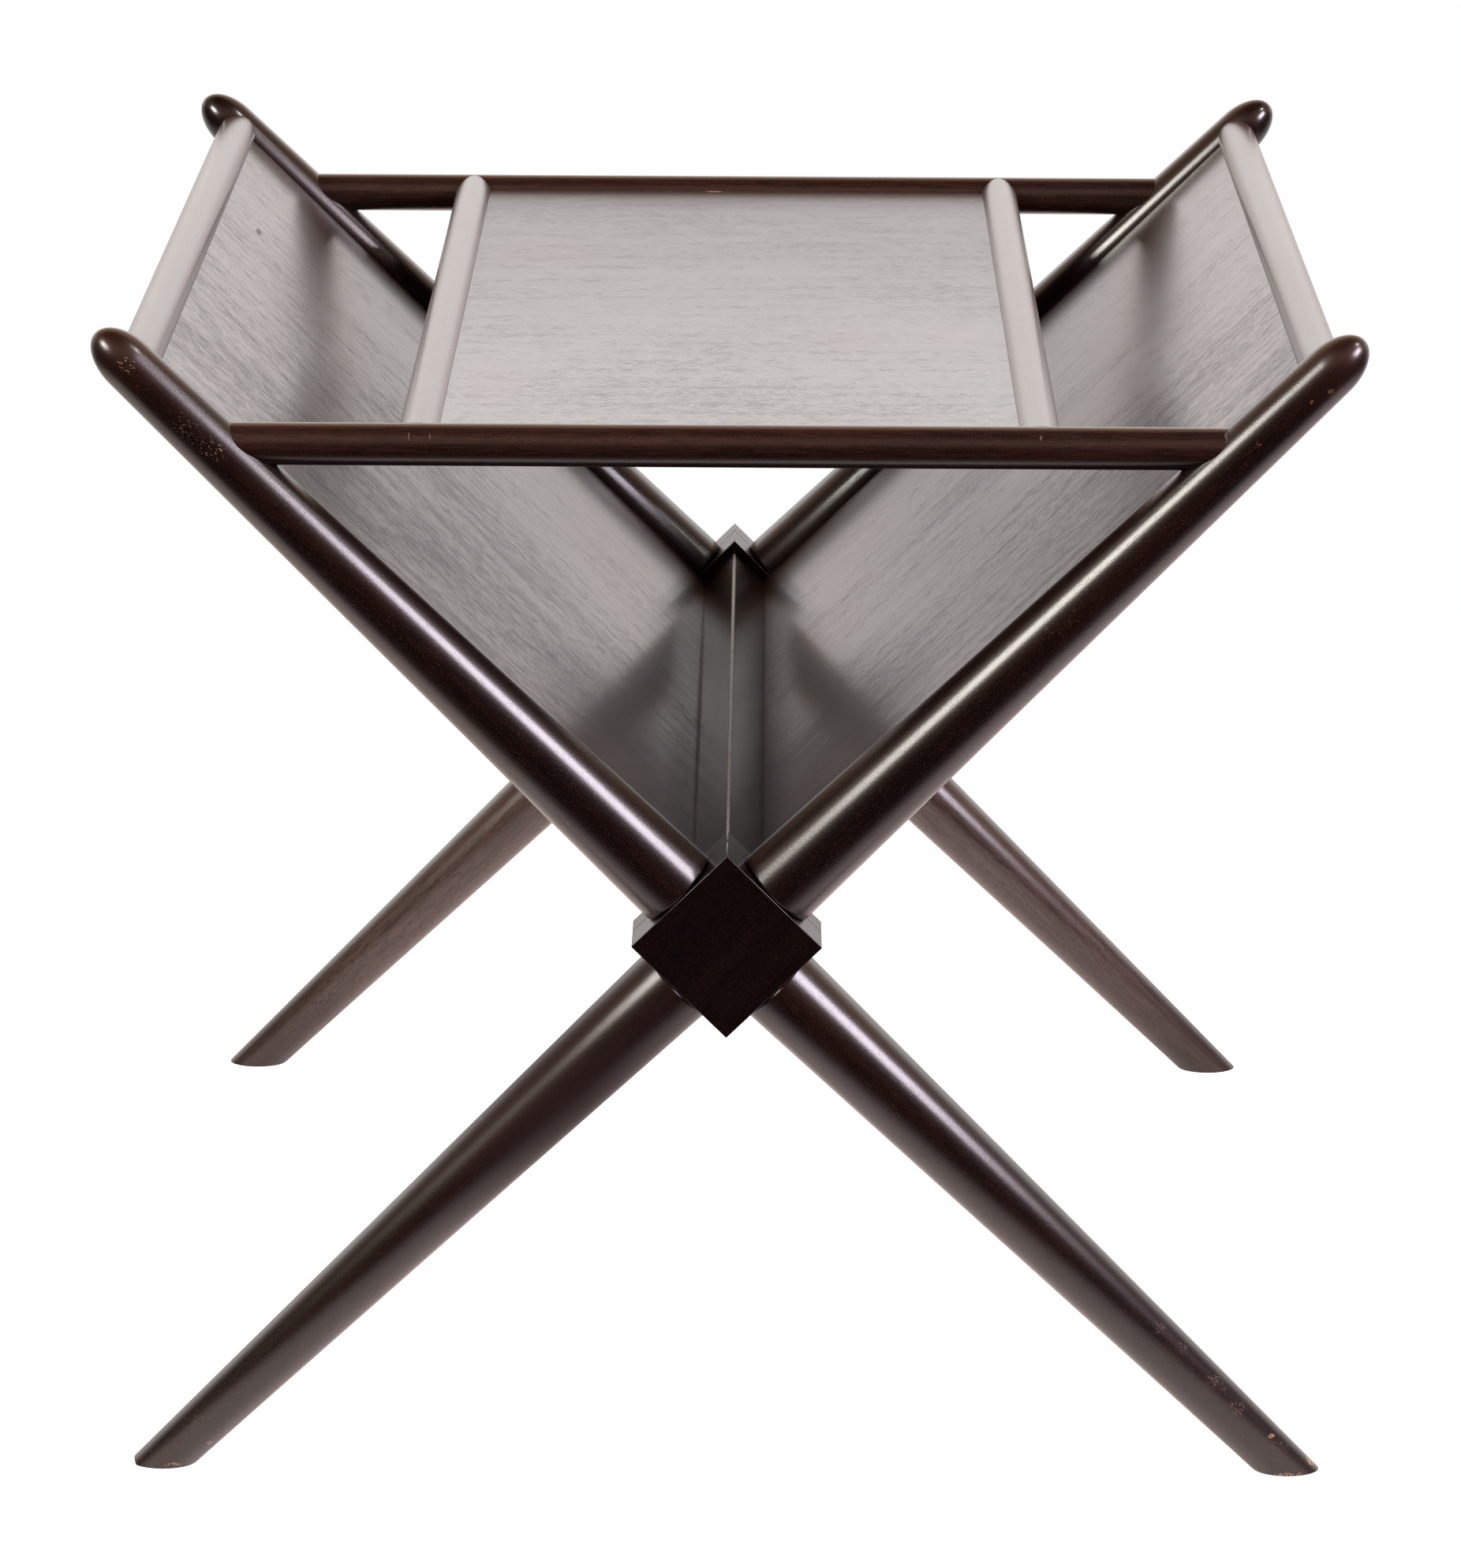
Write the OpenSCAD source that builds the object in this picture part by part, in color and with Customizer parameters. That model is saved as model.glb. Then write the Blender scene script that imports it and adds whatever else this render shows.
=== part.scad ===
// Magazine table: two X frames of tapered round arms and legs, joined by a centre beam, round rails and rods,
// a level tray and two sloping side panels. Millimetres, +Z up, -Y is the front.
// The origin is on the floor, midway between the four feet.

/* [Frame] */
// Distance between the front and the back arm planes, centre to centre
frame_spread = 600; // [450:5:700]
// Height of the hub centres above the floor
hub_height = 271; // [240:1:290]
// Slope of arms and legs from the horizontal
arm_angle = 44.7; // [42:0.1:48]
// Clearance left for glue on every glued face
glue_gap = 0.1; // [0.05:0.01:0.2]

/* [Hubs] */
// Side of the square hubs
hub_side = 64; // [60:1:72]
// Thickness of the hub layer on the front side
near_layer_t = 24; // [20:0.5:28]
// Thickness of the hub layer on the back side
far_layer_t = 17; // [14:0.5:22]

/* [Arms and legs] */
// Length of an upper arm, from the hub centre to the end of its nose
arm_length = 413; // [395:1:450]
// Diameter of an arm where it leaves the hub
arm_base_d = 40.8; // [34:0.2:41]
// Diameter of an arm where its nose starts
arm_tip_d = 25.2; // [23:0.2:30]
// Length of an arm's rounded nose
arm_nose_l = 22; // [12:1:30]
// Diameter of a leg where it leaves the hub
leg_base_d = 40.8; // [34:0.2:41]
// Diameter of a leg on its centre line at the floor
leg_foot_d = 22.8; // [16:0.2:30]
// Diameter of the round tenons on arms and legs
tenon_d = 20; // [14:1:20]
// Length of the round tenons
tenon_l = 18; // [12:0.5:19]

/* [Centre beam] */
// Side of the square centre beam
beam_side = 55; // [48:1:59]
// Depth of the beam's grooves for the side panels
beam_groove_depth = 6; // [4:0.5:8]

/* [Rails and rods] */
// Diameter of the front and back rails
rail_d = 20; // [18:0.5:22]
// Height of the rails and the tray rods above the hub centres
rail_rise = 238.4; // [225:0.2:250]
// Diameter of the two rods along the upper edges of the side panels
top_rod_d = 20; // [18:0.5:22]
// Distance from the end of an arm's nose back to the top rod, along the arm
top_rod_setback = 25; // [21:0.5:34]
// Diameter of the two rods beside the tray
tray_rod_d = 20; // [18:0.5:20]
// Distance between the centre lines of the two tray rods
tray_rod_spacing = 290; // [220:1:320]
// Distance from a rod's centre line to the bottom of its panel groove
rod_groove_floor = 5; // [4.5:0.1:6]

/* [Panels] */
// Thickness of the side panels
side_panel_t = 8; // [5:0.5:9]
// How far the side panels' ends stay short of the arms' centre lines
side_panel_inset = 6; // [5.5:0.5:8]
// Thickness of the tray panel
tray_t = 8; // [5:0.5:10]
// Thickness of the tongue round the tray panel
tongue_t = 4; // [3:0.5:5]

/* [Dowels] */
// Diameter of the dowels between beam and hubs
beam_dowel_d = 8; // [6:0.5:8]
// Length of the dowels between beam and hubs
beam_dowel_l = 60; // [40:1:66]
// Distance of the beam dowels from the beam's centre line
beam_dowel_at = 25; // [24:0.5:26]
// Diameter of the dowels between rails and arms
rail_dowel_d = 8; // [6:0.5:8]
// Length of the dowels between rails and arms
rail_dowel_l = 46; // [36:1:56]
// Diameter of the dowels at the ends of the rods
rod_dowel_d = 6; // [4:0.5:6]
// Length of the dowels at the ends of the rods
rod_dowel_l = 36; // [26:1:46]
// How far the dowels of rails and rods reach past the centre line of the piece they enter
dowel_reach = 4; // [2:0.5:5]

/* [Hidden] */
$fn = 96;

// Which side of the table a piece is on
FRONT = -1;
BACK = 1;
LEFT = -1;
RIGHT = 1;
SIDES = [LEFT, RIGHT];
ENDS = [FRONT, BACK];

hub_t = near_layer_t + far_layer_t;
arm_plane = frame_spread / 2;
hub_inner_y = arm_plane - hub_t / 2;
// Distance of the layers' seam behind the arm plane
seam_offset = near_layer_t - hub_t / 2;
rail_z = hub_height + rail_rise;
// Where a rail's centre line meets an arm's, sideways from the middle
rail_end_x = rail_rise / tan(arm_angle);
tray_rod_x = tray_rod_spacing / 2;
leg_at_floor = hub_height / sin(arm_angle);
arm_nose_at = arm_length - arm_nose_l;
nose_steps = 12;
top_rod_at = arm_length - top_rod_setback;
side_panel_y = arm_plane - side_panel_inset;
side_panel_low = beam_side / 2 - beam_groove_depth + glue_gap;
side_panel_high = top_rod_at - rod_groove_floor - glue_gap;
// More than any piece measures, for cuts that run right through
far = 1000;

wood_dark = [0.13, 0.07, 0.05];
wood_mid = [0.20, 0.12, 0.09];
panel_wood = [0.32, 0.26, 0.24];
dowel_wood = [0.78, 0.65, 0.45];

// Axes of a side panel: z up along the arms, x square to the panel, y along the table, from the hub centres
module on_slope(side) {
    translate([0, 0, hub_height])
        rotate([0, side * (90 - arm_angle), 0])
            children();
}

// Axes of an arm: z from the hub centre to the nose
module on_arm(side, end) {
    on_slope(side)
        translate([0, end * arm_plane, 0])
            children();
}

// Axes of a leg: z from the hub centre to the foot
module on_leg(side, end) {
    translate([0, end * arm_plane, hub_height])
        rotate([0, side * (90 + arm_angle), 0])
            children();
}

// A rod along X, centred
module rod_x(d, length) {
    rotate([0, 90, 0])
        cylinder(d = d, h = length, center = true);
}

// A rod along Y, centred
module rod_y(d, length) {
    rotate([90, 0, 0])
        cylinder(d = d, h = length, center = true);
}

// The square prism of a hub, turned on its corner
module hub_prism(end, grow = 0) {
    translate([0, end * arm_plane, hub_height])
        rotate([0, 45, 0])
            cube([hub_side + 2 * grow, hub_t + 2 * grow, hub_side + 2 * grow], center = true);
}

// Diameter of a tapered stick at a distance from the hub centre, from its base at the hub's face to its end
function taper_d(base_d, end_d, end_at, at) =
    base_d + (end_d - base_d) * (at - hub_side / 2) / (end_at - hub_side / 2);

// Outer shape of an arm, from the hub centre to the end of its nose
module arm_shape(side, end, grow = 0) {
    start_r = taper_d(arm_base_d, arm_tip_d, arm_nose_at, 0) / 2 + grow;
    nose_r = arm_tip_d / 2 + grow;
    nose = [for (i = [0:nose_steps])
        [nose_r * cos(90 * i / nose_steps), arm_nose_at + (arm_nose_l + grow) * sin(90 * i / nose_steps)]];
    on_arm(side, end)
        rotate_extrude()
            polygon(concat([[0, 0], [start_r, 0]], nose));
}

// Outer shape of a leg, from the hub centre to well below the floor
module leg_shape(side, end) {
    length = leg_at_floor + leg_foot_d;
    on_leg(side, end)
        cylinder(
            d1 = taper_d(leg_base_d, leg_foot_d, leg_at_floor, 0),
            d2 = taper_d(leg_base_d, leg_foot_d, leg_at_floor, length),
            h = length);
}

// Everything on the hub's side of a shoulder; turn is 45 for an arm and 135 for a leg
module hub_side_of_shoulder(side, end, turn) {
    translate([0, end * arm_plane, hub_height])
        rotate([0, side * turn, 0])
            translate([-far / 2, -far / 2, hub_side / 2 + glue_gap - far])
                cube(far);
}

// Round tenon towards the hub centre, along the z of an arm or a leg
module tenon(grow = 0) {
    low = hub_side / 2 - tenon_l - grow;
    translate([0, 0, low])
        cylinder(d = tenon_d + 2 * grow, h = hub_side - low);
}

// The four bores of a hub
module tenon_bores(end) {
    for (side = SIDES) {
        on_arm(side, end)
            tenon(glue_gap);
        on_leg(side, end)
            tenon(glue_gap);
    }
}

// Board of a side panel before its corners are notched
module side_board(side, grow = 0) {
    size = [side_panel_t, 2 * side_panel_y, side_panel_high - side_panel_low];
    on_slope(side)
        translate([-size.x / 2 - grow, -size.y / 2 - grow, side_panel_low - grow])
            cube([size.x + 2 * grow, size.y + 2 * grow, size.z + 2 * grow]);
}

// Space that a side panel takes in the pieces round it, hubs left whole
module side_panel_space(side) {
    difference() {
        side_board(side, glue_gap);
        for (end = ENDS)
            hub_prism(end);
    }
}

// Space that the tray's tongue takes in rails and rods
module tray_tongue(grow = 0) {
    length_x = 2 * (tray_rod_x - rod_groove_floor - glue_gap + grow);
    length_y = 2 * (arm_plane - rod_groove_floor - glue_gap + grow);
    translate([0, 0, rail_z])
        cube([length_x, length_y, tongue_t + 2 * grow], center = true);
}

// Dowels across the joint of beam and hubs, four at each end
module beam_dowel_set(end, grow = 0) {
    for (turn = [0:90:270])
        translate([0, end * hub_inner_y, hub_height])
            rotate([0, turn, 0])
                translate([beam_dowel_at, 0, 0])
                    rod_y(beam_dowel_d + 2 * grow, beam_dowel_l + 2 * grow);
}

// Dowel across the joint of a rail and an arm
module rail_dowel(side, end, grow = 0) {
    outer_x = rail_end_x + dowel_reach;
    translate([side * (outer_x - rail_dowel_l / 2), end * arm_plane, rail_z])
        rod_x(rail_dowel_d + 2 * grow, rail_dowel_l + 2 * grow);
}

// Dowel at one end of a rod along Y, reaching past the centre line that the rod's end meets
module rod_dowel(end, grow = 0) {
    translate([0, end * (arm_plane + dowel_reach - rod_dowel_l / 2), 0])
        rod_y(rod_dowel_d + 2 * grow, rod_dowel_l + 2 * grow);
}

module top_rod_dowel(side, end, grow = 0) {
    on_slope(side)
        translate([0, 0, top_rod_at])
            rod_dowel(end, grow);
}

module tray_rod_dowel(side, end, grow = 0) {
    translate([side * tray_rod_x, 0, rail_z])
        rod_dowel(end, grow);
}

// One layer of a hub, between two distances from the arm plane
module hub_layer(end, from_y, to_y) {
    difference() {
        intersection() {
            hub_prism(end);
            translate([-far / 2, end * arm_plane + from_y, 0])
                cube([far, to_y - from_y, far]);
        }
        tenon_bores(end);
        beam_dowel_set(end, glue_gap);
    }
}

module near_layer(end) {
    color(wood_dark)
        hub_layer(end, -hub_t / 2, seam_offset - glue_gap / 2);
}

module far_layer(end) {
    color(wood_dark)
        hub_layer(end, seam_offset + glue_gap / 2, hub_t / 2);
}

module center_beam() {
    color(wood_dark)
        difference() {
            translate([0, 0, hub_height])
                rotate([0, 45, 0])
                    cube([beam_side, 2 * (hub_inner_y - glue_gap), beam_side], center = true);
            for (side = SIDES)
                side_panel_space(side);
            for (end = ENDS)
                beam_dowel_set(end, glue_gap);
        }
}

// Upper arm: tapered, with a round nose, a tenon, a groove for its side panel and two dowel holes
module arm(side, end) {
    color(wood_dark)
        difference() {
            union() {
                difference() {
                    arm_shape(side, end);
                    hub_side_of_shoulder(side, end, 45);
                }
                on_arm(side, end)
                    tenon();
            }
            side_panel_space(side);
            rail_dowel(side, end, glue_gap);
            top_rod_dowel(side, end, glue_gap);
        }
}

// Leg: tapered, cut level at the floor, with a tenon
module leg(side, end) {
    color(wood_dark)
        difference() {
            union() {
                difference() {
                    leg_shape(side, end);
                    hub_side_of_shoulder(side, end, 135);
                }
                on_leg(side, end)
                    tenon();
            }
            translate([-far / 2, -far / 2, -far])
                cube([far, far, far]);
        }
}

// Rail between two arms, coped to them, with a groove for the tray's tongue
module rail(end) {
    color(wood_mid)
        difference() {
            translate([0, end * arm_plane, rail_z])
                rod_x(rail_d, 2 * rail_end_x);
            for (side = SIDES) {
                arm_shape(side, end, glue_gap);
                rail_dowel(side, end, glue_gap);
                tray_rod_dowel(side, end, glue_gap);
            }
            tray_tongue(glue_gap);
        }
}

// Rod along the upper edge of a side panel, coped to the arms
module top_rod(side) {
    color(wood_mid)
        difference() {
            on_slope(side)
                translate([0, 0, top_rod_at])
                    rod_y(top_rod_d, frame_spread);
            for (end = ENDS) {
                arm_shape(side, end, glue_gap);
                top_rod_dowel(side, end, glue_gap);
            }
            side_panel_space(side);
        }
}

// Rod beside the tray, coped to the rails
module tray_rod(side) {
    color(wood_mid)
        difference() {
            translate([side * tray_rod_x, 0, rail_z])
                rod_y(tray_rod_d, frame_spread);
            for (end = ENDS) {
                translate([0, end * arm_plane, rail_z])
                    rod_x(rail_d + 2 * glue_gap, 2 * rail_end_x);
                tray_rod_dowel(side, end, glue_gap);
            }
            tray_tongue(glue_gap);
        }
}

// Tray: a board whose full thickness ends at the rods and rails, with a tongue all round
module tray_panel() {
    color(panel_wood) {
        translate([0, 0, rail_z])
            cube([tray_rod_spacing - tray_rod_d - 2 * glue_gap, frame_spread - rail_d - 2 * glue_gap, tray_t],
                center = true);
        tray_tongue();
    }
}

// Side panel, notched at its lower corners round the hubs
module side_panel(side) {
    color(panel_wood)
        difference() {
            side_board(side);
            for (end = ENDS)
                hub_prism(end, glue_gap);
        }
}

module beam_dowels() {
    color(dowel_wood)
        for (end = ENDS)
            beam_dowel_set(end);
}

module rail_dowels() {
    color(dowel_wood)
        for (side = SIDES, end = ENDS)
            rail_dowel(side, end);
}

module top_rod_dowels() {
    color(dowel_wood)
        for (side = SIDES, end = ENDS)
            top_rod_dowel(side, end);
}

module tray_rod_dowels() {
    color(dowel_wood)
        for (side = SIDES, end = ENDS)
            tray_rod_dowel(side, end);
}

near_layer(FRONT);  // front_hub_outer
far_layer(FRONT);  // front_hub_inner
near_layer(BACK);  // back_hub_inner
far_layer(BACK);  // back_hub_outer
center_beam();
arm(LEFT, FRONT);  // front_left_arm
arm(RIGHT, FRONT);  // front_right_arm
arm(LEFT, BACK);  // back_left_arm
arm(RIGHT, BACK);  // back_right_arm
leg(LEFT, FRONT);  // front_left_leg
leg(RIGHT, FRONT);  // front_right_leg
leg(LEFT, BACK);  // back_left_leg
leg(RIGHT, BACK);  // back_right_leg
rail(FRONT);  // front_rail
rail(BACK);  // back_rail
top_rod(LEFT);  // left_top_rod
top_rod(RIGHT);  // right_top_rod
tray_rod(LEFT);  // tray_left_rod
tray_rod(RIGHT);  // tray_right_rod
tray_panel();
side_panel(LEFT);  // left_panel
side_panel(RIGHT);  // right_panel
beam_dowels();
rail_dowels();
top_rod_dowels();
tray_rod_dowels();
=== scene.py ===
"""Magazine table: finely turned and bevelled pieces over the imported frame, in dark stained wood."""
import math
import bmesh
import bpy
from mathutils import Matrix, Quaternion, Vector


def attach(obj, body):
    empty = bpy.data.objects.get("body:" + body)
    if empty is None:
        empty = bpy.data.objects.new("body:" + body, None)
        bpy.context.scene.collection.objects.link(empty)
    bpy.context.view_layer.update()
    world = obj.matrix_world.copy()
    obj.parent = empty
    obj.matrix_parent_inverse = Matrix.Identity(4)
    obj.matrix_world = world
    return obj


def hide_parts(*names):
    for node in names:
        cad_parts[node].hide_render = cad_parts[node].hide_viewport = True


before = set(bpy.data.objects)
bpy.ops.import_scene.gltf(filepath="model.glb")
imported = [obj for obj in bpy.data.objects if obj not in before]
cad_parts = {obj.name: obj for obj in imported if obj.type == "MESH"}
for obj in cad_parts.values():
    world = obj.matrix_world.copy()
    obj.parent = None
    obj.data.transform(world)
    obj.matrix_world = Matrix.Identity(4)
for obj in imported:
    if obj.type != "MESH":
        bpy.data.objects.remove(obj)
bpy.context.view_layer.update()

MM = 0.001
FRONT, BACK = -1, 1
LEFT, RIGHT = -1, 1
SIDE_NAMES = {LEFT: "left", RIGHT: "right"}
END_NAMES = {FRONT: "front", BACK: "back"}

# Sizes in metres and the slope in radians, as in the frame
SLOPE = math.radians(44.7)
ARM_PLANE = 300 * MM
HUB_Z = 271 * MM
HUB_SIDE = 64 * MM
NEAR_LAYER = 24 * MM
FAR_LAYER = 17 * MM
GLUE = 0.1 * MM
ARM_LENGTH = 413 * MM
ARM_BASE_R = 20.4 * MM
ARM_TIP_R = 12.6 * MM
NOSE_LENGTH = 22 * MM
LEG_BASE_R = 20.4 * MM
LEG_FOOT_R = 11.4 * MM
TENON_R = 10 * MM
TENON_LENGTH = 18 * MM
BEAM_SIDE = 55 * MM
BEAM_GROOVE = 6 * MM
ROD_R = 10 * MM
RAIL_Z = HUB_Z + 238.4 * MM
TOP_ROD_AT = ARM_LENGTH - 25 * MM
TRAY_ROD_X = 145 * MM
GROOVE_FLOOR = 5 * MM
PANEL_T = 8 * MM
PANEL_INSET = 6 * MM
TRAY_T = 8 * MM
TONGUE_T = 4 * MM

# Sizes of the scene's own details
SHOULDER_ROUND = 1.6 * MM
SOLE_ROUND = 0.7 * MM
HUB_BEVEL = 0.5 * MM
BEAM_BEVEL = 1.5 * MM
PANEL_BEVEL = 0.4 * MM
FACET_X = -289 * MM
FACET_Z = 4 * MM
FACET_TILT = math.radians(-38)
FACET_BLOCK = 100 * MM
FAR = 2.0

RAIL_END_X = (RAIL_Z - HUB_Z) / math.tan(SLOPE)
HUB_T = NEAR_LAYER + FAR_LAYER
BEAM_END_Y = ARM_PLANE - HUB_T / 2
SEGMENTS = 96
SHARP = math.radians(35)
ALONG_AXIS = 0.9999
X_AXIS, Y_AXIS, Z_AXIS = Vector((1, 0, 0)), Vector((0, 1, 0)), Vector((0, 0, 1))


# Mesh tools

def arm_axis(side):
    return Vector((side * math.cos(SLOPE), 0, math.sin(SLOPE)))


def leg_axis(side):
    return Vector((side * math.cos(SLOPE), 0, -math.sin(SLOPE)))


def hub_centre(end):
    return Vector((0, end * ARM_PLANE, HUB_Z))


def new_object(name, bm):
    mesh = bpy.data.meshes.new(name)
    bmesh.ops.recalc_face_normals(bm, faces=bm.faces)
    bm.to_mesh(mesh)
    bm.free()
    piece = bpy.data.objects.new(name, mesh)
    bpy.context.scene.collection.objects.link(piece)
    return piece


def lathe(name, origin, axis, profile):
    """A turned piece from pairs of distance along the axis and radius, the first and last of radius 0."""
    across = Y_AXIS if abs(axis.y) < 0.9 else Z_AXIS
    u = across.cross(axis).normalized()
    v = axis.cross(u)
    bm = bmesh.new()
    rings = []
    for along, radius in profile:
        if radius == 0:
            rings.append([bm.verts.new(origin + axis * along)])
            continue
        ring = []
        for i in range(SEGMENTS):
            turn = math.tau * i / SEGMENTS
            spoke = (u * math.cos(turn) + v * math.sin(turn)) * radius
            ring.append(bm.verts.new(origin + axis * along + spoke))
        rings.append(ring)
    for low, high in zip(rings, rings[1:]):
        for i in range(SEGMENTS):
            j = (i + 1) % SEGMENTS
            corners = [low[i % len(low)], low[j % len(low)], high[j % len(high)], high[i % len(high)]]
            bm.faces.new(list(dict.fromkeys(corners)))
    return new_object(name, bm)


def block(name, size, place=Matrix.Identity(4), bevel=0.0):
    """A box of that size round the place's origin, its edges rounded by bevel."""
    bm = bmesh.new()
    bmesh.ops.create_cube(bm, size=1, matrix=Matrix.Diagonal((*size, 1)))
    if bevel:
        bmesh.ops.bevel(bm, geom=bm.edges[:], offset=bevel, segments=3, affect="EDGES", profile=0.5)
    bmesh.ops.transform(bm, matrix=place, verts=bm.verts)
    return new_object(name, bm)


def boolean(piece, cutter, operation="DIFFERENCE"):
    """Cuts or joins piece with cutter, which is used up."""
    modifier = piece.modifiers.new("boolean", "BOOLEAN")
    modifier.operation = operation
    modifier.solver = "EXACT"
    modifier.object = cutter
    bpy.context.view_layer.update()
    graph = bpy.context.evaluated_depsgraph_get()
    mesh = bpy.data.meshes.new_from_object(piece.evaluated_get(graph))
    piece.modifiers.clear()
    old = piece.data
    piece.data = mesh
    bpy.data.meshes.remove(old)
    bpy.data.objects.remove(cutter)


def on_corner(centre):
    """Axes of a square bar or block turned on its corner."""
    return Matrix.Translation(centre) @ Matrix.Rotation(math.pi / 4, 4, "Y")


def slope_place(side):
    """Axes of a side panel: z up the slope, x square to the panel, y along the table."""
    return Matrix.Translation((0, 0, HUB_Z)) @ Matrix.Rotation(side * (math.pi / 2 - SLOPE), 4, "Y")


def finish_piece(piece, node, material, place=None):
    """Shades the piece smooth, but flat where it faces along the place's axes, hides its node in the frame
    and hangs it on the root body.
    """
    axes = [column.to_3d() for column in place.col[:3]] if place else []
    piece.data.set_sharp_from_angle(angle=SHARP)
    for polygon in piece.data.polygons:
        polygon.use_smooth = not any(abs(polygon.normal.dot(axis)) > ALONG_AXIS for axis in axes)
    piece.data.materials.clear()
    piece.data.materials.append(material)
    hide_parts(node)
    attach(piece, "root")


# Pieces

def taper_r(base_r, end_r, end_at, at):
    """Radius at that distance from the hub's centre; the taper starts at the hub's side."""
    return base_r + (end_r - base_r) * (at - HUB_SIDE / 2) / (end_at - HUB_SIDE / 2)


def nose_profile(grow=0.0, steps=24):
    """The rounded nose at an arm's end."""
    start = ARM_LENGTH - NOSE_LENGTH
    angles = [math.pi / 2 * i / steps for i in range(steps)]
    length, radius = NOSE_LENGTH + grow, ARM_TIP_R + grow
    points = [(start + length * math.sin(a), radius * math.cos(a)) for a in angles]
    return points + [(ARM_LENGTH + grow, 0)]


def arm_cutter(side, end):
    """An arm's outside, larger by the glue line, for coping rails and rods."""
    start_r = taper_r(ARM_BASE_R, ARM_TIP_R, ARM_LENGTH - NOSE_LENGTH, 0) + GLUE
    profile = [(0, 0), (0, start_r)] + nose_profile(GLUE)
    return lathe("arm_cutter", hub_centre(end), arm_axis(side), profile)


def panel_cutter(side):
    """The groove that a side panel takes in the pieces round it."""
    low = BEAM_SIDE / 2 - BEAM_GROOVE
    high = TOP_ROD_AT - GROOVE_FLOOR
    size = (PANEL_T + 2 * GLUE, 2 * (ARM_PLANE - PANEL_INSET + GLUE), high - low)
    return block("panel_cutter", size, slope_place(side) @ Matrix.Translation((0, 0, (low + high) / 2)))


def tray_cutter():
    """The groove that the tray's tongue takes in rails and rods."""
    size = (2 * (TRAY_ROD_X - GROOVE_FLOOR), 2 * (ARM_PLANE - GROOVE_FLOOR), TONGUE_T + 2 * GLUE)
    return block("tray_cutter", size, Matrix.Translation((0, 0, RAIL_Z)))


def base_profile(base_r, end_r, end_at, steps=6):
    """The tenon and the rounded shoulder at the hub."""
    shoulder = HUB_SIDE / 2 + GLUE
    tenon_end = HUB_SIDE / 2 - TENON_LENGTH
    points = [(tenon_end, 0), (tenon_end, TENON_R), (shoulder, TENON_R)]
    for i in range(steps + 1):
        angle = math.pi / 2 * i / steps
        at = shoulder + SHOULDER_ROUND * (1 - math.cos(angle))
        points.append((at, taper_r(base_r, end_r, end_at, at) - SHOULDER_ROUND * (1 - math.sin(angle))))
    return points


def make_arm(side, end, material):
    node = f"{END_NAMES[end]}_{SIDE_NAMES[side]}_arm"
    base = base_profile(ARM_BASE_R, ARM_TIP_R, ARM_LENGTH - NOSE_LENGTH)
    piece = lathe(node + "_turned", hub_centre(end), arm_axis(side), base + nose_profile())
    boolean(piece, panel_cutter(side))
    finish_piece(piece, node, material)


def soften_sole(piece):
    """Rounds the edge where a leg is cut at the floor."""
    bm = bmesh.new()
    bm.from_mesh(piece.data)
    on_floor = 0.01 * MM
    rim = [edge for edge in bm.edges if all(abs(vert.co.z) < on_floor for vert in edge.verts)]
    bmesh.ops.bevel(bm, geom=rim, offset=SOLE_ROUND, segments=2, affect="EDGES", profile=0.5)
    bm.to_mesh(piece.data)
    bm.free()


def facet_cutter():
    """Cuts the worn facet on the front left foot."""
    facet = Matrix.Translation((FACET_X, FRONT * ARM_PLANE, FACET_Z)) @ Matrix.Rotation(FACET_TILT, 4, "Y")
    size = (FACET_BLOCK, FACET_BLOCK, FACET_BLOCK)
    return block("facet_cutter", size, facet @ Matrix.Translation((-FACET_BLOCK / 2, 0, 0)))


def make_leg(side, end, material):
    node = f"{END_NAMES[end]}_{SIDE_NAMES[side]}_leg"
    floor_at = HUB_Z / math.sin(SLOPE)
    stop = floor_at + 2 * LEG_FOOT_R
    base = base_profile(LEG_BASE_R, LEG_FOOT_R, floor_at)
    end_r = taper_r(LEG_BASE_R, LEG_FOOT_R, floor_at, stop)
    profile = base + [(stop, end_r), (stop, 0)]
    piece = lathe(node + "_turned", hub_centre(end), leg_axis(side), profile)
    boolean(piece, block("floor_cutter", (FAR, FAR, FAR), Matrix.Translation((0, 0, -FAR / 2))))
    soften_sole(piece)
    if (side, end) == (LEFT, FRONT):
        boolean(piece, facet_cutter())
    finish_piece(piece, node, material)


def make_layer(end, near, node, material):
    """One of a hub's two layers; the near one is on the front side, in both hubs."""
    thickness = NEAR_LAYER if near else FAR_LAYER
    low = end * ARM_PLANE - HUB_T / 2 + (0 if near else NEAR_LAYER)
    place = on_corner((0, low + thickness / 2, HUB_Z))
    piece = block(node + "_block", (HUB_SIDE, thickness - GLUE, HUB_SIDE), place, HUB_BEVEL)
    finish_piece(piece, node, material, place)


def make_beam(material):
    place = on_corner((0, 0, HUB_Z))
    piece = block("center_beam_bar", (BEAM_SIDE, 2 * (BEAM_END_Y - GLUE), BEAM_SIDE), place, BEAM_BEVEL)
    for side in (LEFT, RIGHT):
        boolean(piece, panel_cutter(side))
    finish_piece(piece, "center_beam", material, place)


def round_bar(name, centre, axis, reach, radius=ROD_R):
    """A plain round rod that runs that far to both sides of its centre."""
    return lathe(name, centre, axis, [(-reach, 0), (-reach, radius), (reach, radius), (reach, 0)])


def rail_bar(name, end, grow=0.0):
    return round_bar(name, Vector((0, end * ARM_PLANE, RAIL_Z)), X_AXIS, RAIL_END_X, ROD_R + grow)


def tray_rod_bar(name, side, grow=0.0):
    return round_bar(name, Vector((side * TRAY_ROD_X, 0, RAIL_Z)), Y_AXIS, ARM_PLANE, ROD_R + grow)


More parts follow.
